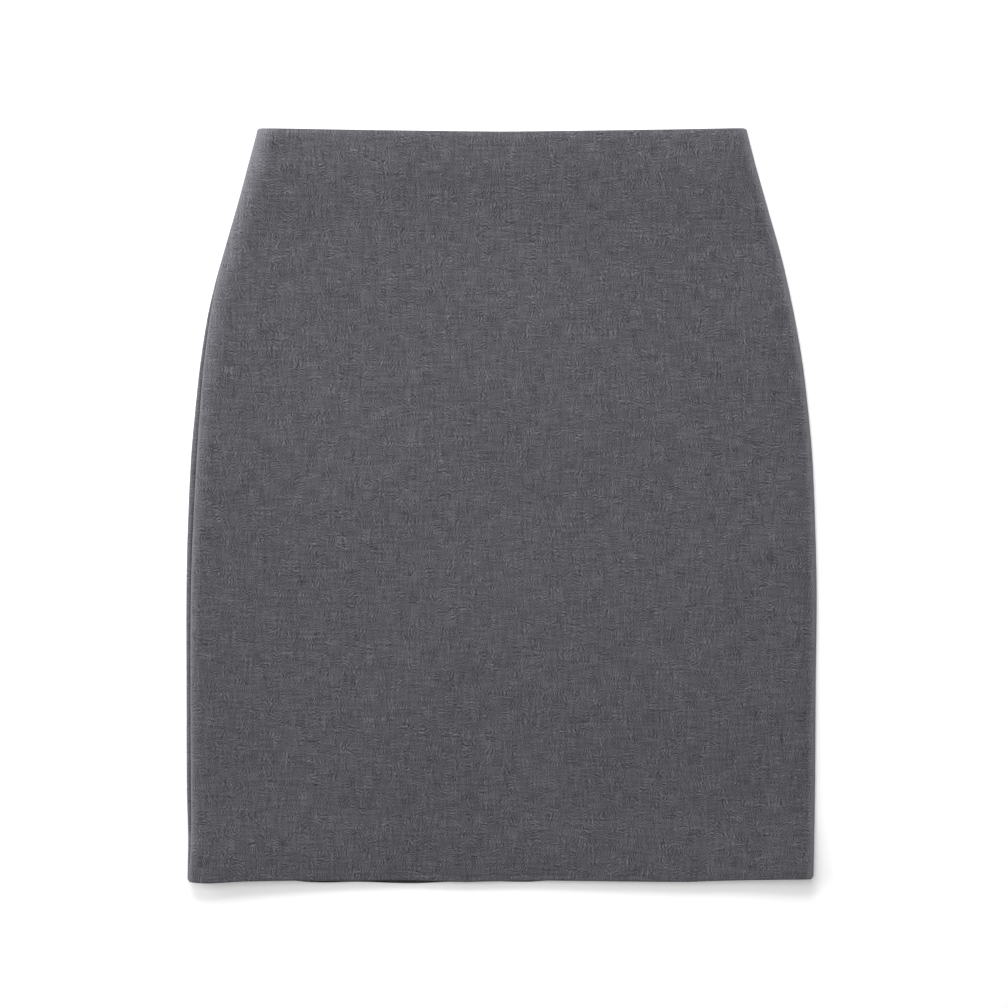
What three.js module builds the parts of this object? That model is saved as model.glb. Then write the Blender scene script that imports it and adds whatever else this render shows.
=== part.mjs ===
// A straight pull-on skirt of thick grey suiting, laid flat on its back on a level surface.
//
// Millimetres. +Y runs from the hem to the waist, +X to the right as seen from above, and +Z up.
// z = 0 is the surface that the skirt lies on, and x = y = 0 is the middle of its outline.
//
// Two pieces of cloth make one flattened tube. The front lies on top and turns under along the
// right edge. The back lies underneath and shows as a narrow strip along the left edge, where
// the side seam has rolled up onto the top. Waist and hem are turned in, so the cloth is double there.
import * as THREE from "three";

// ---- Driving dimensions -------------------------------------------------------------------

const LENGTH = 570; // waist edge to hem edge down the middle
const CLOTH = 1.1; // thickness of the cloth
const TURNED = 2 * CLOTH + 0.1; // thickness where an edge is turned in
const HEM_TURN = 38; // depth of the turned-up hem
const WAIST_TURN = 30; // depth of the turned-in waist
const STEP = 1; // length over which a turned edge thins to single cloth
const SEAM_GAP = 0.3; // clearance between the two pieces along a seam

const EDGE_HEIGHT = 4.0; // height of the rolled side edges
const CROWN = 0.4; // how much higher the top face lies away from the side edges
const TURN_EXTRA = 1.3; // how much higher the skirt is over the turned waist and hem
const TURN_FADE = 14; // length over which that extra height dies away
const ROLL = 18; // width over which the top face rises from a side edge
const RIGHT_SEAM = -6.5; // the right seam: distance along the cloth from the outermost point

const WAIST_DIP = 2.6; // how far the waist edge dips in the middle
const BACK_WAIST_DROP = 1; // how much lower the back's waist edge lies between the side seams
const LIFT_UP = 95; // how far up the skirt the curl of the hem reaches
const END_FADE = 140; // how far from the waist or hem the wave of that edge is felt

// Rounding of the corners, seen from above, and how far along the skirt it is felt.
const WAIST_ROUND = 4;
const HEM_ROUND = 4;
const ROUND_FADE = 24;

// Flat outline. below: distance down from the waist edge; half: half the flat width there;
// seam: the left seam's distance along the cloth from the outermost point of the left edge,
// positive over the top and negative underneath.
const OUTLINE = [
  { below: 0, half: 186.2, seam: -2.6 },
  { below: 22, half: 191.5, seam: -2.4 },
  { below: 60, half: 201.9, seam: -1.2 },
  { below: 98, half: 212.8, seam: 0.6 },
  { below: 136, half: 221.5, seam: 1.9 },
  { below: 174, half: 228.2, seam: 3.1 },
  { below: 212, half: 232.6, seam: 4.4 },
  { below: 250, half: 235.9, seam: 5.2 },
  { below: 310, half: 238.5, seam: 5.1 },
  { below: 356, half: 239.2, seam: 4.3 },
  { below: 420, half: 239.0, seam: 3.6 },
  { below: 500, half: 238.6, seam: 3.8 },
  { below: 540, half: 237.8, seam: 2.6 },
  { below: 570, half: 237.5, seam: 1.6 },
];

// The hem edges. across: distance right of the middle; front and back: how far that panel's
// edge hangs below a straight line; lift: how far the hem curls up off the surface.
const HEM_WAVE = [
  { across: -240, front: 0.6, back: 0.6, lift: 5.6 },
  { across: -222, front: 1.2, back: 0.4, lift: 5.2 },
  { across: -196, front: 0.4, back: -0.6, lift: 4.4 },
  { across: -163, front: -0.4, back: -0.8, lift: 3.0 },
  { across: -133, front: -0.3, back: 0.6, lift: 1.4 },
  { across: -68, front: -1.0, back: 1.2, lift: 0 },
  { across: -30, front: -0.2, back: -0.2, lift: 0 },
  { across: 20, front: -0.6, back: 0.2, lift: 0.2 },
  { across: 51, front: -0.7, back: -1.2, lift: 0.8 },
  { across: 139, front: 0.4, back: -0.5, lift: 2.0 },
  { across: 163, front: -0.4, back: -1.0, lift: 2.4 },
  { across: 208, front: -1.2, back: -1.6, lift: 4.0 },
  { across: 240, front: -1.4, back: -1.4, lift: 4.8 },
];

// ---- Small helpers ------------------------------------------------------------------------

const clamp01 = (t) => Math.min(1, Math.max(0, t));
const smooth = (t) => clamp01(t) ** 2 * (3 - 2 * clamp01(t));

/** Evenly spaced values with both ends; a crowding above 1 gathers them near the first. */
const steps = (from, to, count, crowding = 1) =>
  Array.from({ length: count + 1 }, (_, i) => from + (to - from) * (i / count) ** crowding);

/** One column of a table, read at any place by a smooth curve through its rows. */
function readTable(table, key, column, at) {
  const last = table.length - 1;
  const place = Math.min(table[last][key], Math.max(table[0][key], at));
  const row = Math.min(last - 1, Math.max(0, table.findIndex((r) => r[key] >= place) - 1));
  const slope = (i) => {
    const before = table[Math.max(0, i - 1)];
    const after = table[Math.min(last, i + 1)];
    return (after[column] - before[column]) / (after[key] - before[key]);
  };
  const [a, b] = [table[row], table[row + 1]];
  const span = b[key] - a[key];
  const t = (place - a[key]) / span;
  return (
    a[column] * (1 + 2 * t) * (1 - t) ** 2 +
    slope(row) * span * t * (1 - t) ** 2 +
    b[column] * t * t * (3 - 2 * t) -
    slope(row + 1) * span * t * t * (1 - t)
  );
}

// ---- The skirt's form ---------------------------------------------------------------------

const halfWidth = (below) => readTable(OUTLINE, "below", "half", below);
const leftSeam = (below) => readTable(OUTLINE, "below", "seam", below);

/** Extra height over the turned waist and hem, fading to 0 towards the middle of the skirt. */
function extraHeight(below) {
  const pastWaist = (below - WAIST_TURN) / TURN_FADE;
  const beforeHem = (LENGTH - HEM_TURN - below) / TURN_FADE;
  return TURN_EXTRA * Math.max(1 - smooth(pastWaist), 1 - smooth(beforeHem));
}

/** Thickness of a panel's wall: double where an edge is turned in. */
function wallThickness(below) {
  const pastTurn = Math.min(below - WAIST_TURN, LENGTH - HEM_TURN - below) / STEP;
  return TURNED + (CLOTH - TURNED) * clamp01(pastTurn + 0.5);
}

/** How far a corner of this radius falls away at x, for an edge of this half width. */
function cornerFall(radius, half, x) {
  const past = clamp01((Math.abs(x) - half + radius) / radius);
  return radius * (1 - Math.sqrt(1 - 0.9 * past ** 2));
}

/** The y of a point that lies this far below the waist edge, on the front or the back. */
function placeAlong(panel, below, x) {
  const above = LENGTH - below;
  const share = Math.min(1, Math.abs(x / OUTLINE[0].half)); // 0 in the middle and 1 at a side edge
  const drop = panel === "back" ? BACK_WAIST_DROP * (1 - share ** 4) : 0;
  const waistRise = WAIST_DIP * share ** 1.25 - drop;
  const hemDrop = readTable(HEM_WAVE, "across", panel, x);
  const corners =
    cornerFall(HEM_ROUND, OUTLINE.at(-1).half, x) * (1 - smooth(above / ROUND_FADE)) -
    cornerFall(WAIST_ROUND, OUTLINE[0].half, x) * (1 - smooth(below / ROUND_FADE));
  const waves = waistRise * (1 - smooth(below / END_FADE)) - hemDrop * (1 - smooth(above / END_FADE));
  return LENGTH / 2 - below + waves + corners;
}

/** How far the curl of the hem lifts the cloth off the surface. */
function hemLift(below, x) {
  const lift = Math.max(0, readTable(HEM_WAVE, "across", "lift", x));
  return lift * (1 - smooth((LENGTH - below) / LIFT_UP)) ** 2;
}

/**
 * A point of the tube's outer face near a side edge. run is the distance along the cloth from
 * the outermost point of the edge: positive over the top, negative underneath. Gives the
 * distance in from the edge, the height, and the outward direction.
 */
function rolledEdge(run, below) {
  const radius = (EDGE_HEIGHT + extraHeight(below)) / 2;
  const quarter = (radius * Math.PI) / 2;
  const angle = Math.min(quarter, Math.max(-quarter, run)) / radius;
  const inward = radius * (1 - Math.cos(angle)) + Math.max(0, Math.abs(run) - quarter);
  const rise = run > 0 ? CROWN * (1 - (1 - clamp01(inward / ROLL)) ** 2) : 0;
  const height = radius * (1 + Math.sin(angle)) + rise;
  return { inward, height, out: Math.cos(angle), up: Math.sin(angle) };
}

// Points of the outer face, { x, z, nx, nz }, where nx and nz give the outward direction.
function onLeft(run, below) {
  const { inward, height, out, up } = rolledEdge(run, below);
  return { x: inward - halfWidth(below), z: height, nx: -out, nz: up };
}

function onRight(run, below) {
  const { inward, height, out, up } = rolledEdge(run, below);
  return { x: halfWidth(below) - inward, z: height, nx: out, nz: up };
}

/** The last point of a panel at a seam. side is 1 for the cloth past the seam and -1 before it. */
function seamEnd(edge, run, below, side) {
  const p = edge(run, below);
  const [tx, tz] = edge === onLeft ? [p.nz, -p.nx] : [-p.nz, p.nx]; // along the cloth, as run grows
  const shift = (side * SEAM_GAP) / 2;
  return { ...p, x: p.x + tx * shift, z: p.z + tz * shift };
}

/** Points between two places on a level part of the outer face, without its ends. */
function flatRun(from, to, count, z, nz) {
  return steps(from, to, count)
    .slice(1, -1)
    .map((x) => ({ x, z, nx: 0, nz }));
}

// ---- One row of points across each panel --------------------------------------------------

const SIDE_STEPS = 7; // from a side edge to the top face
const UNDER_STEPS = 5; // from a side edge to the underside
const FRONT_STEPS = 14; // across the top face
const BACK_STEPS = 12; // across the underside
const ROLL_END = ROLL + 4; // distance along the cloth at which the top face is level

function frontRow(below) {
  const runs = steps(leftSeam(below), ROLL_END, SIDE_STEPS, 1.5).slice(1);
  const left = runs.map((run) => onLeft(run, below));
  const over = steps(0, ROLL_END, SIDE_STEPS, 1.5).toReversed().map((run) => onRight(run, below));
  const under = steps(0, RIGHT_SEAM, UNDER_STEPS).slice(1, -1).map((run) => onRight(run, below));
  const top = flatRun(left.at(-1).x, over[0].x, FRONT_STEPS, over[0].z, 1);
  const ends = [seamEnd(onLeft, leftSeam(below), below, 1), seamEnd(onRight, RIGHT_SEAM, below, 1)];
  return [ends[0], ...left, ...top, ...over, ...under, ends[1]];
}

function backRow(below) {
  const ends = [seamEnd(onRight, RIGHT_SEAM, below, -1), seamEnd(onLeft, leftSeam(below), below, -1)];
  const runs = steps(-ROLL / 2, leftSeam(below), 2 * UNDER_STEPS).slice(0, -1);
  const left = runs.map((run) => onLeft(run, below));
  const under = flatRun(ends[0].x, left[0].x, BACK_STEPS, 0, -1);
  return [ends[0], ...under, ...left, ends[1]];
}

/** Distances below the waist edge at which each panel gets a row of points. */
const ROWS = [
  ...steps(0, WAIST_TURN - STEP / 2, 4),
  ...steps(WAIST_TURN + STEP / 2, LENGTH - HEM_TURN - STEP / 2, 24),
  ...steps(LENGTH - HEM_TURN + STEP / 2, LENGTH, 4),
];

// ---- From rows of points to a closed wall of cloth ----------------------------------------

/** A closed wall through the rows: outer face, inner face one thickness in, and four edges. */
function clothWall(panel, rowOf) {
  const outer = [];
  const inner = [];
  for (const below of ROWS) {
    const depth = wallThickness(below);
    const place = (x, z) => [x, placeAlong(panel, below, x), z + hemLift(below, x)];
    for (const p of rowOf(below)) {
      outer.push(place(p.x, p.z));
      inner.push(place(p.x - p.nx * depth, p.z - p.nz * depth));
    }
  }
  const across = outer.length / ROWS.length;
  const [end, hem] = [across - 1, ROWS.length - 1];
  const at = (row, column, face) => face * outer.length + row * across + column;
  const quads = [];
  for (let row = 0; row < hem; row++) {
    for (let column = 0; column < end; column++) {
      for (const face of [0, 1]) {
        const corners = [at(row, column, face), at(row + 1, column, face)];
        corners.push(at(row + 1, column + 1, face), at(row, column + 1, face));
        quads.push(face === 0 ? corners : corners.toReversed());
      }
    }
    quads.push([at(row, 0, 0), at(row, 0, 1), at(row + 1, 0, 1), at(row + 1, 0, 0)]);
    quads.push([at(row, end, 0), at(row + 1, end, 0), at(row + 1, end, 1), at(row, end, 1)]);
  }
  for (let column = 0; column < end; column++) {
    quads.push([at(0, column, 0), at(0, column + 1, 0), at(0, column + 1, 1), at(0, column, 1)]);
    quads.push([at(hem, column, 0), at(hem, column, 1), at(hem, column + 1, 1), at(hem, column + 1, 0)]);
  }
  return new THREE.BufferGeometry()
    .setAttribute("position", new THREE.Float32BufferAttribute([...outer, ...inner].flat(), 3))
    .setIndex(quads.flatMap(([a, b, c, d]) => [a, b, c, a, c, d]));
}

function panelMesh(name, panel, rowOf) {
  const suiting = new THREE.MeshStandardMaterial({ color: 0x5c5b60, roughness: 0.95, metalness: 0 });
  const geometry = clothWall(panel, rowOf);
  geometry.computeVertexNormals();
  const mesh = new THREE.Mesh(geometry, suiting);
  mesh.name = name;
  return mesh;
}

const skirt = new THREE.Group();
skirt.add(panelMesh("front_panel", "front", frontRow));
skirt.add(panelMesh("back_panel", "back", backRow));

// Centre the outline on the origin, with the underside on z = 0.
const box = new THREE.Box3().setFromObject(skirt);
const middle = box.getCenter(new THREE.Vector3());
for (const panel of skirt.children) panel.position.set(-middle.x, -middle.y, -box.min.z);

export default skirt;
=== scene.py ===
"""A straight pull-on skirt of thick heathered double knit, laid flat on its back, front up.

Two sheets of cloth make a flattened tube. Each is one grid, bent to its form: the outside, the
turned-in waist and hem, and a rounded lip at each side seam. Lengths in the tables are millimetres.
"""

import math

import bmesh
import bpy
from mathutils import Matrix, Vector, noise


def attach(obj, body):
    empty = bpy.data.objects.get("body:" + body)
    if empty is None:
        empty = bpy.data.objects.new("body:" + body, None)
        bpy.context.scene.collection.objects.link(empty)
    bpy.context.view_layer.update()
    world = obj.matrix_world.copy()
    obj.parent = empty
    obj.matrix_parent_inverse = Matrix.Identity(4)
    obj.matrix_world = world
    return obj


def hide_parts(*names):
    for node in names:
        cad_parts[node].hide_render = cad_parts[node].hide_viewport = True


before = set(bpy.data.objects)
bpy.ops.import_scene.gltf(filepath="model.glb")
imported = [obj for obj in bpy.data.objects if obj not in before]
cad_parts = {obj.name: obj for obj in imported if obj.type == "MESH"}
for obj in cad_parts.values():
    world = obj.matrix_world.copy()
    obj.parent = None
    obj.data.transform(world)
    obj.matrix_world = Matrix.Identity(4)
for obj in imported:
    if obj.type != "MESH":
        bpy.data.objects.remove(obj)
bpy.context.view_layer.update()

bl_info = {
    "name": "Laid-flat pencil skirt",
    "version": (1, 0, 0),
    "blender": (4, 5, 0),
    "location": "3D View > Sidebar > Skirt",
    "description": "Builds a straight heathered knit skirt laid flat, with its stage",
    "category": "Add Mesh",
}

MM = 0.001

# ---- Tables of the skirt's form -------------------------------------------------------------

# below: distance down from the waist edge. half: half the flat width there. shift: how far the
# skirt lies to the right there. seam: the left seam's distance along the cloth from the
# outermost point of the left edge, positive over the top and negative underneath. nap: width
# of the painted highlight along the left edge, which stands in for the light that the rolled
# edge and its nap sheen catch. soft: its strength, past the narrow painted highlight at the seam.
# sag: share of the sag of the top face; less of it fits over the turned waist and hem.
OUTLINE = (
    {"below": 0, "half": 186.3, "shift": 0.6, "seam": -2.6, "nap_sheen_and_painted_light": 17.0, "soft": 1.0, "sag": 0.4},
    {"below": 22, "half": 191.5, "shift": 0.4, "seam": -2.4, "nap_sheen_and_painted_light": 17.5, "soft": 1.0, "sag": 0.4},
    {"below": 60, "half": 202.1, "shift": 0.6, "seam": -0.6, "nap_sheen_and_painted_light": 18.0, "soft": 0.9, "sag": 0.7},
    {"below": 98, "half": 213.4, "shift": 0.2, "seam": 1.8, "nap_sheen_and_painted_light": 18.5, "soft": 0.7, "sag": 0.95},
    {"below": 136, "half": 222.3, "shift": -0.2, "seam": 3.1, "nap_sheen_and_painted_light": 18.0, "soft": 0.55, "sag": 1.0},
    {"below": 174, "half": 228.7, "shift": 0.1, "seam": 4.1, "nap_sheen_and_painted_light": 16.0, "soft": 0.55, "sag": 1.0},
    {"below": 212, "half": 233.1, "shift": 0.3, "seam": 5.1, "nap_sheen_and_painted_light": 13.5, "soft": 0.55, "sag": 1.0},
    {"below": 250, "half": 236.4, "shift": 0.3, "seam": 5.9, "nap_sheen_and_painted_light": 10.5, "soft": 0.55, "sag": 1.0},
    {"below": 310, "half": 238.9, "shift": 0.2, "seam": 5.4, "nap_sheen_and_painted_light": 9.0, "soft": 0.55, "sag": 1.0},
    {"below": 356, "half": 239.7, "shift": 0.2, "seam": 4.8, "nap_sheen_and_painted_light": 9.0, "soft": 0.5, "sag": 0.9},
    {"below": 420, "half": 239.3, "shift": -0.1, "seam": 4.5, "nap_sheen_and_painted_light": 8.5, "soft": 0.5, "sag": 0.7},
    {"below": 500, "half": 238.9, "shift": -0.2, "seam": 4.5, "nap_sheen_and_painted_light": 8.0, "soft": 0.5, "sag": 0.45},
    {"below": 540, "half": 237.8, "shift": 0.0, "seam": 3.4, "nap_sheen_and_painted_light": 7.5, "soft": 0.5, "sag": 0.4},
    {"below": 570, "half": 237.6, "shift": -0.7, "seam": 2.0, "nap_sheen_and_painted_light": 5.0, "soft": 0.6, "sag": 0.4},
)

# across: distance right of the middle. front and back: how far that panel's hem hangs below a
# straight line. lift: how far the hem curls up off the surface.
HEM_WAVE = (
    {"across": -240, "front": -0.3, "back": -0.3, "lift": 5.6},
    {"across": -222, "front": 0.8, "back": 0.0, "lift": 5.2},
    {"across": -196, "front": -0.4, "back": -1.4, "lift": 4.4},
    {"across": -163, "front": -0.9, "back": -1.3, "lift": 3.0},
    {"across": -149, "front": -0.9, "back": 0.3, "lift": 2.2},
    {"across": -133, "front": -0.6, "back": 1.0, "lift": 1.4},
    {"across": -110, "front": -0.7, "back": 0.5, "lift": 0.6},
    {"across": -68, "front": -1.0, "back": 1.7, "lift": 0.0},
    {"across": -30, "front": 0.4, "back": 0.3, "lift": 0.0},
    {"across": -10, "front": 0.0, "back": 0.1, "lift": 0.1},
    {"across": 20, "front": -0.7, "back": 0.6, "lift": 0.2},
    {"across": 51, "front": -0.6, "back": -1.2, "lift": 0.8},
    {"across": 139, "front": 0.1, "back": -0.8, "lift": 2.0},
    {"across": 163, "front": -0.7, "back": -1.3, "lift": 2.4},
    {"across": 208, "front": -1.8, "back": -2.2, "lift": 4.0},
    {"across": 240, "front": -2.2, "back": -2.3, "lift": 4.8},
)

# Soft ridges (height above 0) and troughs (below 0) of the top face. x and below: the middle.
# turn: degrees from straight across. long and wide: half the length and half the width.
TOP_CREASES = (
    {"x": -136, "below": 52, "turn": 55, "long": 34, "wide": 7, "height": 0.35},
    {"x": -124, "below": 66, "turn": 50, "long": 30, "wide": 8, "height": -0.30},
    {"x": -35, "below": 58, "turn": 3, "long": 90, "wide": 24, "height": -0.60},
    {"x": 52, "below": 145, "turn": 20, "long": 34, "wide": 20, "height": 0.35},
    {"x": -92, "below": 126, "turn": -30, "long": 30, "wide": 18, "height": 0.30},
    {"x": -54, "below": 248, "turn": 60, "long": 40, "wide": 22, "height": 0.30},
    {"x": 98, "below": 115, "turn": -15, "long": 30, "wide": 20, "height": 0.25},
    {"x": -54, "below": 531, "turn": 0, "long": 110, "wide": 12, "height": -0.50},
    {"x": 120, "below": 528, "turn": -4, "long": 80, "wide": 14, "height": -0.35},
    {"x": -58, "below": 565, "turn": 0, "long": 26, "wide": 2.2, "height": -0.60},
    {"x": 34, "below": 565.5, "turn": 0, "long": 48, "wide": 2.2, "height": -0.45},
    {"x": -206, "below": 440, "turn": 90, "long": 115, "wide": 9, "height": -0.35},
    {"x": 197, "below": 410, "turn": 91, "long": 150, "wide": 10, "height": -0.30},
    {"x": 150, "below": 300, "turn": 40, "long": 60, "wide": 16, "height": 0.20},
    {"x": -130, "below": 380, "turn": -50, "long": 60, "wide": 18, "height": 0.20},
)

# The same for the underside, where a trough is a place that lies off the surface.
UNDER_CREASES = (
    {"x": 128, "below": 60, "turn": 125, "long": 40, "wide": 8, "height": -0.6},
    {"x": 30, "below": 150, "turn": 10, "long": 80, "wide": 14, "height": -0.5},
    {"x": -90, "below": 300, "turn": 70, "long": 70, "wide": 10, "height": -0.5},
    {"x": 110, "below": 420, "turn": 100, "long": 90, "wide": 9, "height": -0.5},
    {"x": -20, "below": 500, "turn": -8, "long": 120, "wide": 8, "height": -0.6},
)


# Slow waves of the top face. across and along: their size. seed: which part of the noise.
SLOW_WAVES = (
    {"across": 95, "along": 120, "seed": 3.7, "height": 0.35},
    {"across": 38, "along": 46, "seed": 9.1, "height": 0.10},
)


# ---- What a user can change -----------------------------------------------------------------


class SkirtSizes(bpy.types.PropertyGroup):
    """Sizes of the cloth and of the way it lies."""

    length: bpy.props.FloatProperty(
        name="Length", description="Waist edge to hem edge", default=0.57, min=0.2, unit="LENGTH"
    )
    cloth: bpy.props.FloatProperty(
        name="Cloth thickness", description="Thickness of one layer", default=0.0011, unit="LENGTH"
    )
    hem_turn: bpy.props.FloatProperty(
        name="Hem turn", description="Depth of the turned-up hem", default=0.038, unit="LENGTH"
    )
    waist_turn: bpy.props.FloatProperty(
        name="Waist turn", description="Depth of the turned-in waist", default=0.03, unit="LENGTH"
    )
    height: bpy.props.FloatProperty(
        name="Height", description="Height of the top face by the side edges", default=0.0056, unit="LENGTH"
    )
    sag: bpy.props.FloatProperty(
        name="Sag",
        description="How much lower the middle of the top face lies",
        default=0.0018,
        unit="LENGTH",
    )


class ClothFinish(bpy.types.PropertyGroup):
    """Colour and surface of the heathered knit."""

    ground: bpy.props.FloatVectorProperty(
        name="Ground",
        description="Colour of the fibres between the palest and the darkest",
        size=3,
        subtype="COLOR",
        default=(0.0696, 0.0683, 0.0766),
    )
    # Strength of the painted highlights on the rolled edges and of the painted shade in the left seam and
    # on the back's hem.
    edges: bpy.props.FloatProperty(
        name="Edges", description="How much paler the raised nap is on the side edges", default=0.52, min=0
    )
    contrast: bpy.props.FloatProperty(
        name="Contrast", description="How far pale and dark fibres stand out", default=0.42, min=0, max=0.9
    )
    nap_sheen_and_painted_light: bpy.props.FloatProperty(
        name="Nap",
        description="Weight of the sheen of the short nap",
        default=0.35,
        min=0,
        max=1,
        subtype="FACTOR",
    )


class StageLight(bpy.types.PropertyGroup):
    """Strength of the studio's lights."""

    key: bpy.props.FloatProperty(
        name="Key", description="Power of the large soft light beyond the waist", default=38.0, unit="POWER"
    )
    above: bpy.props.FloatProperty(
        name="Above", description="Power of the soft light over the hips", default=4.5, unit="POWER"
    )
    side: bpy.props.FloatProperty(
        name="Side", description="Power of the low soft light on the left", default=200.0, unit="POWER"
    )
    fill: bpy.props.FloatProperty(
        name="Fill", description="Brightness of the white surroundings", default=0.14, min=0
    )
    table: bpy.props.FloatProperty(
        name="Table", description="Glow of the white light table under the skirt", default=0.2, min=0
    )


# ---- Small helpers --------------------------------------------------------------------------


def clamp01(t):
    return min(1.0, max(0.0, t))


def smooth(t):
    t = clamp01(t)
    return t * t * (3 - 2 * t)


def fade(t):
    """1 at 0, falling smoothly to 0 at 1."""
    return 1 - smooth(t)


def bell(t):
    return math.exp(-(t**2))


def spread(first, last, count, crowding=1.0):
    """count + 1 values with both ends; a crowding above 1 gathers them near the first."""
    return [first + (last - first) * (i / count) ** crowding for i in range(count + 1)]


def read_table(table, key, column, at):
    """One column of a table, read at any place by a smooth curve through its rows."""
    last = len(table) - 1
    at = min(table[last][key], max(table[0][key], at))
    row = max(0, min(last - 1, next(i for i, r in enumerate(table) if r[key] >= at) - 1))

    def slope(i):
        before, after = table[max(0, i - 1)], table[min(last, i + 1)]
        return (after[column] - before[column]) / (after[key] - before[key])

    a, b = table[row], table[row + 1]
    span = b[key] - a[key]
    t = (at - a[key]) / span
    return (
        a[column] * (1 + 2 * t) * (1 - t) ** 2
        + slope(row) * span * t * (1 - t) ** 2
        + b[column] * t * t * (3 - 2 * t)
        - slope(row + 1) * span * t * t * (1 - t)
    )


def crease_height(creases, x, below):
    """Height of the soft ridges and troughs at a place."""
    total = 0.0
    for c in creases:
        turn = math.radians(c["turn"])
        dx, dy = x - c["x"], c["below"] - below
        along = (dx * math.cos(turn) + dy * math.sin(turn)) / c["long"]
        across = (dy * math.cos(turn) - dx * math.sin(turn)) / c["wide"]
        total += c["height"] * math.exp(-(along**2) - across**2)
    return total


# ---- The skirt's form, in millimetres -------------------------------------------------------

SIDE_RADIUS = 1.7  # of the rolled side edges, underneath
WAIST_DIP = 2.6  # how far the waist edge dips in the middle
BACK_WAIST_DROP = 1.0  # how much lower the back's waist edge lies
CORNER_RADIUS = {"waist": 3.0, "hem": 4.0}
CORNER_FADE = 24.0
WAVE_FADE = 140.0  # how far from the waist or hem the wave of that edge is felt
LIFT_FADE = 95.0
TURN_EXTRA = 0.8  # extra height over the turned waist and hem
TURN_FADE = 12.0
END_ROLL = {"waist": 11.0, "hem": 6.0}  # over which the top face falls to the waist and hem edges
END_FALL = {"waist": 1.3, "hem": 0.35}
RIGHT_SEAM = -6.5  # the right seam's distance along the cloth from the outermost point
SEAM_GAP = 0.3
LIP_RADIUS = 0.62  # of the middle of the cloth where it turns down into a seam
LIP_DEPTH = 0.7  # how much further down into the seam the cloth goes
STRIP_SINK = 0.7  # how far the back's strip sinks beside the left seam
STRIP_SINK_WIDTH = 2.2
SAG_FADE = 60.0  # how far in from the sides the sag is complete
SLOW_FADE = 16.0  # how far in from the waist or hem the slow waves reach their full height
CREASE_FADE = 3.0  # and the creases theirs
UNDER_START = 12.0  # how far in from the sides the creases of the underside begin
UNDER_FADE = 40.0
UNDER_REACH = 9.0  # how far along the underside from the left edge its close points reach
FOLD_GAP = 0.1  # between the two layers of a turned edge
ROLL_END = 34.0  # distance along the cloth at which the top face is level

# Painted highlights and painted shade in the cloth's colour: the highlights stand in for the light
# that the rolled edges and their nap sheen catch, the shade for the shade in the left seam's groove
# and on the back's hem. How much of it (1 beside the left seam) and, in millimetres, how wide or
# how far.
STRIP_PAINTED_HIGHLIGHT = {"amount": 0.65, "less_at_hem": 0.3, "wide": 5.5}  # painted highlight on the back's strip, where its roll catches the light
SEAM_PAINTED_SHADE = 0.27  # painted shade in the groove beside the left seam, where the front's lip shades the back's strip
SEAM_PAINTED_HIGHLIGHT = {"amount": 1.3, "less_at_hem": 0.45, "wide": 1.3}  # painted highlight on the front's lip at that seam
# Painted highlight over the roll of the right edge.
RIGHT_PAINTED_HIGHLIGHT = {"amount": 0.98, "wide": 7.8}
RIGHT_EDGE_PAINTED_HIGHLIGHT = {"amount": 0.75, "wide": 2.2}  # painted highlight on the right edge itself
END_PAINTED_HIGHLIGHT = {"waist": 0.17, "hem": 0.12}  # painted highlight along the front's waist and hem edges, where they roll over
END_PAINTED_HIGHLIGHT_WIDTH = {"waist": 7.0, "hem": 4.0}
BACK_HEM_PAINTED_SHADE = 2.2  # width of the painted shade on the back's hem, which lies in the front hem's shadow
WAIST_DARKER_BAND = {"amount": 0.08, "below": 60.0, "wide": 26.0}  # a band of slightly darker colour below the waist
NEAR_HEM = {"strip": 25.0, "seam_highlight": 30.0}  # where those two grow weaker


class Roll:
    """The top face beside a side edge, from the angle at which it leans."""

    STEP = 0.05

    def __init__(self, head, lean, reach):
        """head: cloth over which the edge turns from upright. lean: slope left after that, in
        degrees. reach: cloth over which the slope dies away."""
        lean = math.radians(lean)
        self.points = [(0.0, 0.0, math.pi / 2)]
        inward = rise = 0.0
        for i in range(1, int(ROLL_END / self.STEP) + 2):
            run = i * self.STEP
            angle = lean * math.exp(-run / reach) + (math.pi / 2 - lean) * bell(run / head)
            angle *= 1 - smooth(run / ROLL_END) ** 3
            inward += math.cos(angle) * self.STEP
            rise += math.sin(angle) * self.STEP
            self.points.append((inward, rise, angle))
        self.rise = rise

    def at(self, run):
        """(distance in from the edge, share of the rise, slope) this far along the cloth."""
        place = min(run / self.STEP, len(self.points) - 1.001)
        i = int(place)
        a, b = self.points[i], self.points[i + 1]
        inward, rise, angle = (p + (q - p) * (place - i) for p, q in zip(a, b))
        return inward, rise / self.rise, angle


ROLLS = {-1: Roll(head=2.0, lean=38, reach=6.5), 1: Roll(head=2.2, lean=32, reach=5.0)}


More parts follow.
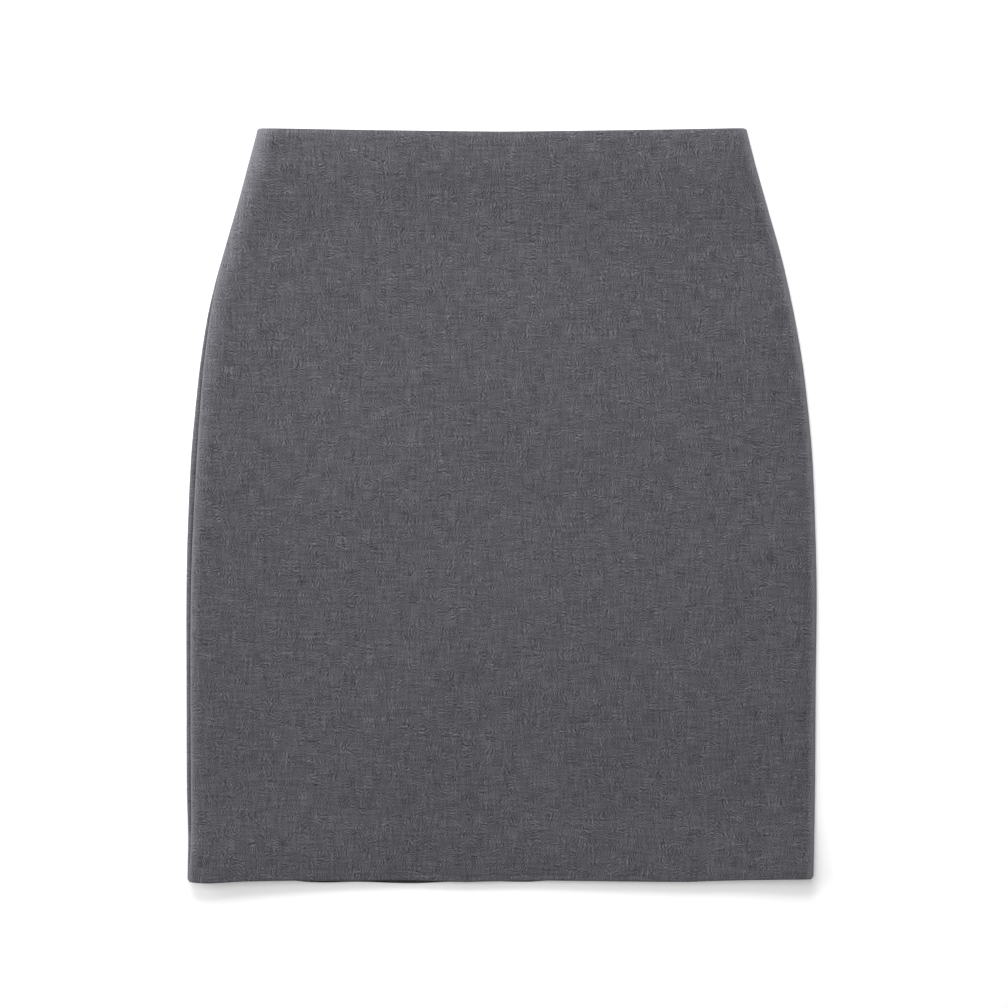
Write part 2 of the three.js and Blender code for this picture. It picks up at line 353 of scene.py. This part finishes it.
class Form:
    """The outer face of the flattened tube. side is -1 for the left edge and 1 for the right."""

    def __init__(self, sizes):
        self.length = sizes.length / MM
        self.cloth = sizes.cloth / MM
        self.hem_turn = sizes.hem_turn / MM
        self.waist_turn = sizes.waist_turn / MM
        self.height = sizes.height / MM
        self.sag = sizes.sag / MM

    def half(self, below):
        return read_table(OUTLINE, "below", "half", below)

    def shift(self, below):
        return read_table(OUTLINE, "below", "shift", below)

    def seam(self, side, below):
        return read_table(OUTLINE, "below", "seam", below) if side < 0 else RIGHT_SEAM

    def top(self, below):
        """Height of the top face by the side edges."""
        past_waist = (below - self.waist_turn) / TURN_FADE
        before_hem = (self.length - self.hem_turn - below) / TURN_FADE
        turned = max(fade(past_waist), fade(before_hem))
        ends = {"waist": below, "hem": self.length - below}
        fall = sum(END_FALL[end] * (1 - clamp01(ends[end] / END_ROLL[end])) ** 2.5 for end in ends)
        return self.height + TURN_EXTRA * turned - fall

    def edge(self, side, run, below):
        """A point (x, z) and the outward direction, this far along the cloth from the outermost
        point of a side edge: positive over the top and negative underneath."""
        half = self.half(below)
        if run >= 0:
            inward, share, angle = ROLLS[side].at(run)
            z = SIDE_RADIUS + (self.top(below) - SIDE_RADIUS) * share
            return side * (half - inward), z, side * math.sin(angle), math.cos(angle)
        angle = max(run / SIDE_RADIUS, -math.pi / 2)
        past = max(0.0, -run - SIDE_RADIUS * math.pi / 2)
        inward = SIDE_RADIUS * (1 - math.cos(angle)) + past
        z = SIDE_RADIUS * (1 + math.sin(angle))
        return side * (half - inward), z, side * math.cos(angle), math.sin(angle)

    def top_relief(self, x, below):
        """Height of the creases, sag and slow unevenness of the top face."""
        to_side = clamp01((self.half(below) - abs(x)) / SAG_FADE)
        to_end = min(below, self.length - below)
        slow = 0.0
        for wave in SLOW_WAVES:
            spot = Vector((x / wave["across"], below / wave["along"], wave["seed"]))
            slow += wave["height"] * noise.noise(spot)
        slow *= smooth(to_side * 2) * clamp01(to_end / SLOW_FADE)
        creases = crease_height(TOP_CREASES, x, below) * clamp01(to_end / CREASE_FADE)
        return creases + slow - self.sag * read_table(OUTLINE, "below", "sag", below) * smooth(to_side)

    def under_relief(self, x, below):
        """How far the creases of the underside lie off the surface."""
        to_side = (self.half(below) - UNDER_START - abs(x)) / UNDER_FADE
        return -crease_height(UNDER_CREASES, x, below) * smooth(to_side)

    def painted_light_and_shade(self, panel, x, below):
        """How much paler or darker the cloth is painted: painted highlights, 1 beside the left seam,
        where the rolled edges and their nap sheen catch the light; painted shade, less than 0, in the
        left seam's groove and on the back's hem in the front hem's shadow; and a band slightly darker
        below the waist.
        """
        inward, above = self.half(below) - abs(x), self.length - below
        seam = self.seam(-1, below)
        seam_inward = ROLLS[-1].at(max(0.0, seam))[0]
        if panel == "back":
            # Painted highlight on the back's strip, less near the hem, and painted shade on the back's hem,
            # which lies in the front hem's shadow.
            near_hem = fade(above / NEAR_HEM["strip"])
            strip = STRIP_PAINTED_HIGHLIGHT["amount"] - STRIP_PAINTED_HIGHLIGHT["less_at_hem"] * near_hem
            nap_sheen_and_painted_light = strip * fade(inward / STRIP_PAINTED_HIGHLIGHT["wide"]) - fade(above / BACK_HEM_PAINTED_SHADE)
            # Painted shade in the groove beside the left seam.
            if x < 0:
                nap_sheen_and_painted_light -= SEAM_PAINTED_SHADE * smooth(seam / 2) * bell((inward - seam_inward) / SEAM_PAINTED_HIGHLIGHT["wide"])
            return nap_sheen_and_painted_light
        # Painted highlights along the front's waist and hem edges, and a band slightly darker below the
        # waist.
        nap_sheen_and_painted_light = END_PAINTED_HIGHLIGHT["waist"] * fade(below / END_PAINTED_HIGHLIGHT_WIDTH["waist"])
        nap_sheen_and_painted_light += END_PAINTED_HIGHLIGHT["hem"] * fade(above / END_PAINTED_HIGHLIGHT_WIDTH["hem"])
        nap_sheen_and_painted_light -= WAIST_DARKER_BAND["amount"] * bell((below - WAIST_DARKER_BAND["below"]) / WAIST_DARKER_BAND["wide"])
        # Painted highlight over the rolled right edge and on the edge itself.
        if x > 0:
            nap_sheen_and_painted_light += RIGHT_EDGE_PAINTED_HIGHLIGHT["amount"] * bell(inward / RIGHT_EDGE_PAINTED_HIGHLIGHT["wide"])
            return nap_sheen_and_painted_light + RIGHT_PAINTED_HIGHLIGHT["amount"] * fade(inward / RIGHT_PAINTED_HIGHLIGHT["wide"])
        # Painted highlight over the left edge's roll, and a narrow one on the front's lip at the seam.
        past = max(0.0, inward - seam_inward - LIP_RADIUS)
        soft = read_table(OUTLINE, "below", "soft", below)
        nap_sheen_and_painted_light += soft * fade(past / read_table(OUTLINE, "below", "nap_sheen_and_painted_light", below))
        near_hem = fade(above / NEAR_HEM["seam_highlight"])
        seam_highlight = SEAM_PAINTED_HIGHLIGHT["amount"] - SEAM_PAINTED_HIGHLIGHT["less_at_hem"] * near_hem - soft
        return nap_sheen_and_painted_light + seam_highlight * bell(past / SEAM_PAINTED_HIGHLIGHT["wide"])

    def place_along(self, panel, below, x):
        """The y of a point that lies this far below the waist edge."""
        above = self.length - below
        share = min(1.0, abs(x / OUTLINE[0]["half"]))
        drop = BACK_WAIST_DROP * (1 - share**4) if panel == "back" else 0.0
        waist_rise = WAIST_DIP * share**1.25 - drop
        hem_drop = read_table(HEM_WAVE, "across", panel, x)
        y = self.length / 2 - below
        y += waist_rise * fade(below / WAVE_FADE)
        y -= hem_drop * fade(above / WAVE_FADE)
        y -= corner_fall(CORNER_RADIUS["waist"], OUTLINE[0]["half"], x) * fade(below / CORNER_FADE)
        y += corner_fall(CORNER_RADIUS["hem"], OUTLINE[-1]["half"], x) * fade(above / CORNER_FADE)
        return y

    def lift(self, below, x):
        """How far the curl of the hem lifts the cloth off the surface."""
        height = max(0.0, read_table(HEM_WAVE, "across", "lift", x))
        return height * fade((self.length - below) / LIFT_FADE) ** 2


def corner_fall(radius, half, x):
    """How far a corner of this radius falls away at x."""
    past = clamp01((abs(x) - half + radius) / radius)
    return radius * (1 - math.sqrt(1 - 0.9 * past**2))


def lip(distance, cloth):
    """Where the cloth's middle lies, this far along it from its raw edge in a seam: (distance
    from the middle of the seam, depth under the outer face)."""
    clear = SEAM_GAP / 2 + cloth / 2
    if distance < LIP_DEPTH:
        return clear, cloth / 2 + LIP_RADIUS + LIP_DEPTH - distance
    angle = min((distance - LIP_DEPTH) / LIP_RADIUS, math.pi / 2)
    past = max(0.0, distance - LIP_DEPTH - LIP_RADIUS * math.pi / 2)
    return clear + LIP_RADIUS * (1 - math.cos(angle)) + past, cloth / 2 + LIP_RADIUS * (1 - math.sin(angle))


def fold_sizes(form):
    """Of a turned edge: (radius at the middle of the cloth, depth of the whole round)."""
    radius = (form.cloth + FOLD_GAP) / 2
    return radius, radius + form.cloth / 2


def turned_edge(form, along):
    """The cloth's middle, this far along it from the waist edge: (distance below the waist edge,
    extra depth). Less than 0 is turned in at the waist and more than the length at the hem."""
    radius, nose = fold_sizes(form)
    for edge, inward, distance in ((0.0, 1, along), (form.length, -1, form.length - along)):
        past = nose - distance
        if past > 0:
            angle = min(past / radius, math.pi)
            straight = max(0.0, past - radius * math.pi)
            below = edge + inward * (nose - radius * math.sin(angle) + straight)
            return below, radius * (1 - math.cos(angle))
    return along, 0.0


# ---- Rows of points across and along each panel ---------------------------------------------

LIP_END = LIP_DEPTH + LIP_RADIUS * math.pi / 2
LIP_STATIONS = spread(0, LIP_DEPTH, 2) + spread(LIP_DEPTH, LIP_END, 5)[1:]
ROLL_STEPS = 18
UNDER_STEPS = 6
TOP_STEPS = 96
BOTTOM_STEPS = 92
END_ZONE = 14.0  # close rows reach this far from the waist and hem edges
HEM_ZONE = 24.0  # and rows that are less close this far beyond the hem's turn
ROWS = {"fold": 8, "waist turn": 6, "hem turn": 7, "end zone": 9, "hem zone": 18, "middle": 120}


def seam_lip(form, side, below, way):
    """Points from the raw edge in a seam out onto the face. way is 1 towards the top."""
    points = []
    for station in LIP_STATIONS:
        distance, depth = lip(station, form.cloth)
        run = form.seam(side, below) + way * distance
        points.append((*form.edge(side, run, below), depth))
    return points


def front_row(form, below):
    middle = form.cloth / 2
    clear = lip(LIP_END, form.cloth)[0]
    left = spread(form.seam(-1, below) + clear, ROLL_END, ROLL_STEPS, 1.6)[1:]
    right = spread(0, ROLL_END, ROLL_STEPS, 1.6)[::-1]
    under = spread(0, RIGHT_SEAM + clear, UNDER_STEPS)[1:-1]
    points = seam_lip(form, -1, below, 1)
    points += [(*form.edge(-1, run, below), middle) for run in left]
    start, end = points[-1][0], form.edge(1, ROLL_END, below)[0]
    points += [(x, form.top(below), 0.0, 1.0, middle) for x in spread(start, end, TOP_STEPS)[1:-1]]
    points += [(*form.edge(1, run, below), middle) for run in right + under]
    return points + seam_lip(form, 1, below, 1)[::-1]


def back_row(form, below):
    middle = form.cloth / 2
    clear = lip(LIP_END, form.cloth)[0]
    seam = form.seam(-1, below)
    points = seam_lip(form, 1, below, -1)
    runs = spread(-UNDER_REACH, seam - clear, 3 * UNDER_STEPS)
    start, end = points[-1][0], form.edge(-1, runs[0], below)[0]
    points += [(x, 0.0, 0.0, -1.0, middle) for x in spread(start, end, BOTTOM_STEPS)[1:-1]]
    on_top = smooth(seam / 2)
    for run in runs[:-1]:
        sink = STRIP_SINK * fade((seam - clear - run) / STRIP_SINK_WIDTH) * on_top
        points.append((*form.edge(-1, run, below), middle + sink))
    lip_points = seam_lip(form, -1, below, -1)[::-1]
    return points + [(*point, depth + STRIP_SINK * on_top) for *point, depth in lip_points]


def stations_along(form):
    """Distances along the cloth, from its raw edge inside the hem to the one inside the waist."""
    radius, nose = fold_sizes(form)
    hem_end = form.hem_turn + HEM_ZONE
    fold = spread(nose, nose - math.pi * radius, ROWS["fold"])
    waist = spread(fold[-1], fold[-1] - form.waist_turn, ROWS["waist turn"], 1.5)[1:]
    hem = spread(fold[-1], fold[-1] - form.hem_turn, ROWS["hem turn"], 1.5)[1:]
    near = spread(nose, END_ZONE, ROWS["end zone"], 1.3)[1:]
    hem_zone = spread(END_ZONE, hem_end, ROWS["hem zone"])[1:]
    middle = spread(hem_end, form.length - END_ZONE, ROWS["middle"])[1:]
    from_hem = hem[::-1] + fold[::-1] + near + hem_zone + middle
    return [form.length - d for d in from_hem] + near[-2::-1] + fold + waist


# ---- From rows of points to a sheet of cloth ------------------------------------------------


def cut_width(points):
    """Distance along the cloth from the start of a row to each of its points."""
    total, widths = 0.0, [0.0]
    for a, b in zip(points, points[1:]):
        total += math.dist(a[:2], b[:2])
        widths.append(total)
    return widths


def crossing(points, widths):
    """The cloth's distance at which a row crosses the middle of the skirt."""
    for (a, b), (p, q) in zip(zip(points, points[1:]), zip(widths, widths[1:])):
        if (a[0] <= 0) != (b[0] <= 0):
            return p + (q - p) * a[0] / (a[0] - b[0])
    raise ValueError("a row of the cloth doesn't cross the middle of the skirt")


def cloth_sheet(name, form, panel, row_of):
    """A grid of cloth bent to its form, with a wall's thickness. Gives (object, flat size, area)."""
    alongs = stations_along(form)
    rows = []
    for along in alongs:
        below, turned = turned_edge(form, along)
        points = row_of(form, below)
        widths = cut_width(points)
        rows.append((along, below, turned, points, widths, crossing(points, widths)))
    columns = len(rows[0][3])

    bm = bmesh.new()
    bmesh.ops.create_grid(bm, x_segments=columns - 1, y_segments=len(rows) - 1, size=1)
    flat = []
    # How much paler or darker the colour is painted at each point: painted highlights on the rolled edges,
    # painted shade in the seam and on the back's hem.
    nap_sheen_and_painted_light = bm.verts.layers.float.new("nap_sheen_and_painted_light")
    for vert in bm.verts:
        row = round((vert.co.y + 1) / 2 * (len(rows) - 1))
        column = round((vert.co.x + 1) / 2 * (columns - 1))
        along, below, turned, points, widths, middle = rows[row]
        x, z, nx, nz, depth = points[column]
        z += form.top_relief(x, below) * max(0.0, nz) if panel == "front" else form.under_relief(x, below)
        depth += turned
        x, z = x - nx * depth, z - nz * depth
        place = Vector((x + form.shift(below), form.place_along(panel, below, x), z + form.lift(below, x)))
        vert.co = place * MM
        vert[nap_sheen_and_painted_light] = form.painted_light_and_shade(panel, x, below)
        flat.append((widths[column] - middle, form.length / 2 - along))
    uv = bm.loops.layers.uv.new("cut")
    bm.verts.index_update()
    turn = 1 if panel == "front" else -1
    for face in bm.faces:
        face.smooth = True
        for loop in face.loops:
            across, along = flat[loop.vert.index]
            loop[uv].uv = (turn * across * MM, along * MM)
    mesh = bpy.data.meshes.new(name)
    bm.to_mesh(mesh)
    bm.free()

    obj = bpy.data.objects.new(name, mesh)
    bpy.context.scene.collection.objects.link(obj)
    wall = obj.modifiers.new("wall", "SOLIDIFY")
    wall.thickness = form.cloth * MM
    wall.offset = 0

    length = alongs[0] - alongs[-1]
    area = sum((a[4][-1] + b[4][-1]) / 2 * abs(b[0] - a[0]) for a, b in zip(rows, rows[1:]))
    width = max(row[4][-1] for row in rows)
    return obj, (width * MM, length * MM), area * MM * MM


# ---- Materials ------------------------------------------------------------------------------

# How strongly each kind of mark tells in the shade of the cloth.
HEATHER = {"strokes": 1.1, "threads": 0.45, "grain": 0.5, "clouds": 0.26, "slow clouds": 0.11}
EVEN_STEPS = 2.4  # power that makes the steps of the shades look even


def add(tree, kind, label="", **inputs):
    """A node whose inputs are given by name, or by place as _0, _1 and _2. Each is a value or
    another node's output."""
    node = tree.nodes.new(kind)
    node.label = label
    for name, value in inputs.items():
        socket = node.inputs[int(name[1:])] if name[0] == "_" else node.inputs[name.replace("_", " ")]
        if isinstance(value, bpy.types.NodeSocket):
            tree.links.new(value, socket)
        else:
            socket.default_value = value
    return node


def math_node(tree, operation, a, b=0.0, c=0.0):
    node = add(tree, "ShaderNodeMath", _0=a, _1=b, _2=c)
    node.operation = operation
    return node.outputs[0]


def scaled(tree, vector, x, y):
    node = add(tree, "ShaderNodeVectorMath", _0=vector, _1=(x, y, 0.0))
    node.operation = "MULTIPLY"
    return node.outputs[0]


def signed(tree, vector, scale, detail=1.0, rough=0.5):
    """Noise about 0, mostly from -0.5 to 0.5."""
    node = add(tree, "ShaderNodeTexNoise", Vector=vector, Scale=scale, Detail=detail, Roughness=rough)
    return math_node(tree, "SUBTRACT", node.outputs["Fac"], 0.5)


def strokes(tree, vector, scale, frequency, turn):
    """Short parallel strokes about 0. turn, in radians, is the way that they lie."""
    node = add(tree, "ShaderNodeTexGabor", Vector=vector, Scale=scale, Anisotropy=0.6)
    tree.links.new(frequency, node.inputs["Frequency"])
    tree.links.new(turn, next(i for i in node.inputs if i.name == "Orientation" and i.type == "VALUE"))
    return math_node(tree, "SUBTRACT", node.outputs["Value"], 0.5)


def heather_group():
    """Fibres of a heathered knit, by place on the flat cloth in metres: clumps of fine strokes
    that each lie their own way, longer threads across and along, grain and soft clouds."""
    tree = bpy.data.node_groups.new("heathered fibres", "ShaderNodeTree")
    tree.interface.new_socket("Cut", in_out="INPUT", socket_type="NodeSocketVector")
    tree.interface.new_socket("Shade", in_out="OUTPUT", socket_type="NodeSocketFloat")
    tree.interface.new_socket("Height", in_out="OUTPUT", socket_type="NodeSocketFloat")
    cut = tree.nodes.new("NodeGroupInput").outputs["Cut"]
    end = tree.nodes.new("NodeGroupOutput")

    wander = add(tree, "ShaderNodeTexNoise", Vector=cut, Scale=200.0, Detail=1.0)
    wander = scaled(tree, wander.outputs["Color"], 0.003, 0.003)
    place = add(tree, "ShaderNodeVectorMath", _0=cut, _1=wander)
    clump = add(tree, "ShaderNodeTexVoronoi", Vector=place.outputs[0], Scale=150.0)
    chance = add(tree, "ShaderNodeSeparateColor", Color=clump.outputs["Color"])
    quarter = math_node(tree, "ROUND", math_node(tree, "MULTIPLY", chance.outputs[0], 3.0))
    turn = math_node(tree, "MULTIPLY", quarter, math.pi / 2)
    lean = math_node(tree, "SUBTRACT", chance.outputs[1], 0.5)
    turn = math_node(tree, "MULTIPLY_ADD", lean, 0.45, c=turn)
    frequency = math_node(tree, "MULTIPLY_ADD", chance.outputs[2], 0.8, c=1.1)
    fine = strokes(tree, cut, 330.0, frequency, turn)

    along = signed(tree, scaled(tree, cut, 480, 65), 1.0, rough=0.6)
    across = signed(tree, scaled(tree, cut, 65, 480), 1.0, rough=0.6)
    threads = math_node(tree, "ADD", along, across)
    grain = signed(tree, cut, 1000.0, rough=0.6)
    patchy = math_node(tree, "MULTIPLY_ADD", signed(tree, cut, 95.0), 1.8, c=1.0)
    cloud = signed(tree, cut, 60.0, detail=5.0, rough=0.72)
    slow = signed(tree, cut, 9.0, detail=2.0)

    fibres = math_node(tree, "MULTIPLY", fine, HEATHER["strokes"])
    fibres = math_node(tree, "MULTIPLY_ADD", threads, HEATHER["threads"], c=fibres)
    fibres = math_node(tree, "MULTIPLY_ADD", grain, HEATHER["grain"], c=fibres)
    fibres = math_node(tree, "MULTIPLY", fibres, patchy)
    fibres = math_node(tree, "MULTIPLY_ADD", slow, HEATHER["slow clouds"], c=fibres)
    fibres = math_node(tree, "MULTIPLY_ADD", cloud, HEATHER["clouds"], c=fibres)
    tree.links.new(fibres, end.inputs["Shade"])
    tree.links.new(math_node(tree, "ADD", threads, grain), end.inputs["Height"])
    return tree


def cloth_material(name, finish, offset):
    """The heathered knit. offset moves its fibres, so that no two panels are alike."""
    material = bpy.data.materials.new(name)
    material.use_nodes = True
    tree = material.node_tree
    shader = tree.nodes["Principled BSDF"]
    cut = add(tree, "ShaderNodeUVMap")
    cut.uv_map = "cut"
    moved = add(tree, "ShaderNodeMapping", Vector=cut.outputs["UV"], Location=(offset, offset * 0.7, 0))
    fibres = add(tree, "ShaderNodeGroup")
    fibres.node_tree = bpy.data.node_groups.get("heathered fibres") or heather_group()
    tree.links.new(moved.outputs[0], fibres.inputs["Cut"])

    # Painted highlights and painted shade, from the mesh's attribute, shift the shades of the fibres paler
    # or darker.
    nap_sheen_and_painted_light = add(tree, "ShaderNodeAttribute")
    nap_sheen_and_painted_light.attribute_name = "nap_sheen_and_painted_light"
    shade = math_node(tree, "MULTIPLY_ADD", nap_sheen_and_painted_light.outputs["Fac"], finish.edges, c=0.5)
    shades = add(tree, "ShaderNodeValToRGB", Fac=math_node(tree, "ADD", fibres.outputs["Shade"], shade))
    ramp = shades.color_ramp.elements
    for position in (0.25, 0.5, 0.75):
        ramp.new(position)
    for element in ramp:
        brightness = (1 + finish.contrast * (2 * element.position - 1)) ** EVEN_STEPS
        element.color = (*(brightness * part for part in finish.ground), 1)

    bump = add(tree, "ShaderNodeBump", Strength=0.3, Distance=0.0004, Height=fibres.outputs["Height"])
    tree.links.new(shades.outputs[0], shader.inputs["Base Color"])
    tree.links.new(bump.outputs[0], shader.inputs["Normal"])
    shader.inputs["Roughness"].default_value = 0.95
    shader.inputs["Specular IOR Level"].default_value = 0.15
    shader.inputs["Sheen Weight"].default_value = finish.nap_sheen_and_painted_light
    shader.inputs["Sheen Roughness"].default_value = 0.5
    shader.inputs["Sheen Tint"].default_value = (0.95, 0.95, 1.0, 1)
    return material


# ---- Operators ------------------------------------------------------------------------------


def place_panel(context, panel, row_of, offset):
    form = Form(context.scene.skirt_sizes)
    obj, flat, area = cloth_sheet(f"{panel}_cloth", form, panel, row_of)
    obj.data.materials.append(cloth_material(f"{panel} knit", context.scene.skirt_finish, offset))
    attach(obj, "root")
    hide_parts(f"{panel}_panel")
    return obj, flat, area


class SKIRT_OT_back(bpy.types.Operator):
    """Make the back: the underside, and the strip that shows along the left edge"""

    bl_idname = "skirt.back"
    bl_label = "Back panel"

    def execute(self, context):
        obj, flat, area = place_panel(context, "back", back_row, 0.37)
        return {"FINISHED"}


class SKIRT_OT_front(bpy.types.Operator):
    """Make the front: the top face, turned under along the right edge"""

    bl_idname = "skirt.front"
    bl_label = "Front panel"

    def execute(self, context):
        obj, flat, area = place_panel(context, "front", front_row, 0.0)
        return {"FINISHED"}


def surroundings(tree, fill):
    """White walls that are dimmer low down beyond the hem, and plain white where they are seen."""
    direction = add(tree, "ShaderNodeTexCoord").outputs["Generated"]
    toward = add(tree, "ShaderNodeVectorMath", _0=direction, _1=(-0.3, 0.5, 0.8))
    toward.operation = "DOT_PRODUCT"
    bright = add(tree, "ShaderNodeMapRange", Value=toward.outputs["Value"], From_Min=-0.3, From_Max=0.5)
    bright.inputs["To Min"].default_value = 0.4 * fill
    bright.inputs["To Max"].default_value = fill
    seen = add(tree, "ShaderNodeLightPath").outputs["Is Camera Ray"]
    strength = add(tree, "ShaderNodeMix", Factor=seen, A=bright.outputs[0], B=1.0)
    tree.nodes["Background"].inputs["Color"].default_value = (1, 1, 1, 1)
    tree.links.new(strength.outputs[0], tree.nodes["Background"].inputs["Strength"])


def light_table(glow):
    """The white floor, with its own glow round the skirt, and full white far away from it."""
    material = bpy.data.materials.new("light table")
    material.use_nodes = True
    tree = material.node_tree
    shader = tree.nodes["Principled BSDF"]
    place = add(tree, "ShaderNodeTexCoord").outputs["Object"]
    away = add(tree, "ShaderNodeVectorMath", _0=place)
    away.operation = "LENGTH"
    glow_there = add(tree, "ShaderNodeMapRange", Value=away.outputs["Value"], From_Min=0.8, From_Max=2.2)
    glow_there.inputs["To Min"].default_value = glow
    tree.links.new(glow_there.outputs[0], shader.inputs["Emission Color"])
    shader.inputs["Emission Strength"].default_value = 1.0
    shader.inputs["Base Color"].default_value = (0.92, 0.92, 0.92, 1)
    shader.inputs["Roughness"].default_value = 0.9
    shader.inputs["Specular IOR Level"].default_value = 0.1
    return material


def soft_light(scene, name, power, place, width, height):
    """A large rectangular lamp at a place, pointing at the middle of the skirt."""
    lamp = bpy.data.lights.new(name, "AREA")
    lamp.shape = "RECTANGLE"
    lamp.size, lamp.size_y = width, height
    lamp.energy = power
    light = bpy.data.objects.new(name, lamp)
    scene.collection.objects.link(light)
    light.visible_camera = False
    light.location = place
    light.rotation_euler = (-Vector(place)).to_track_quat("-Z", "Y").to_euler()


class SKIRT_OT_stage(bpy.types.Operator):
    """Make the white floor, the soft lights and the camera straight above"""

    bl_idname = "skirt.stage"
    bl_label = "Stage"

    def execute(self, context):
        scene = context.scene
        light = scene.skirt_light
        bm = bmesh.new()
        bmesh.ops.create_grid(bm, x_segments=1, y_segments=1, size=4)
        mesh = bpy.data.meshes.new("floor")
        bm.to_mesh(mesh)
        bm.free()
        floor = bpy.data.objects.new("floor", mesh)
        scene.collection.objects.link(floor)
        mesh.materials.append(light_table(light.table))

        world = bpy.data.worlds.new("white surroundings")
        world.use_nodes = True
        surroundings(world.node_tree, light.fill)
        scene.world = world

        soft_light(scene, "key", light.key, (-0.35, 1.5, 1.0), 1.5, 0.75)
        soft_light(scene, "above", light.above, (0, 0.02, 1.0), 0.8, 0.8)
        soft_light(scene, "side", light.side, (-5.0, 1.5, 2.2), 4.0, 2.0)

        lens = bpy.data.cameras.new("camera")
        lens.lens = 100
        lens.sensor_width = 36
        camera = bpy.data.objects.new("camera", lens)
        scene.collection.objects.link(camera)
        view_width, cloth_top = 0.7655, 0.005
        camera.location = (0.0021, 0.0018, view_width * lens.lens / lens.sensor_width + cloth_top)
        scene.camera = camera
        scene.view_settings.view_transform = "Standard"
        return {"FINISHED"}


class SKIRT_PT_panel(bpy.types.Panel):
    """The skirt's sizes, finish and pieces."""

    bl_idname = "SKIRT_PT_panel"
    bl_label = "Laid-flat skirt"
    bl_space_type = "VIEW_3D"
    bl_region_type = "UI"
    bl_category = "Skirt"

    def draw(self, context):
        scene = context.scene
        for group in (scene.skirt_sizes, scene.skirt_finish, scene.skirt_light):
            box = self.layout.box()
            for name in group.__annotations__:
                box.prop(group, name)
        for operator in OPERATORS:
            self.layout.operator(operator.bl_idname)


GROUPS = {"skirt_sizes": SkirtSizes, "skirt_finish": ClothFinish, "skirt_light": StageLight}
OPERATORS = (SKIRT_OT_back, SKIRT_OT_front, SKIRT_OT_stage)


def register():
    for cls in (*GROUPS.values(), *OPERATORS, SKIRT_PT_panel):
        bpy.utils.register_class(cls)
    for name, cls in GROUPS.items():
        setattr(bpy.types.Scene, name, bpy.props.PointerProperty(type=cls))


def unregister():
    for name in GROUPS:
        delattr(bpy.types.Scene, name)
    for cls in reversed((*GROUPS.values(), *OPERATORS, SKIRT_PT_panel)):
        bpy.utils.unregister_class(cls)


def main():
    register()
    bpy.ops.skirt.back()
    bpy.ops.skirt.front()
    bpy.ops.skirt.stage()
    bpy.context.view_layer.update()


if __name__ == "__main__":
    main()
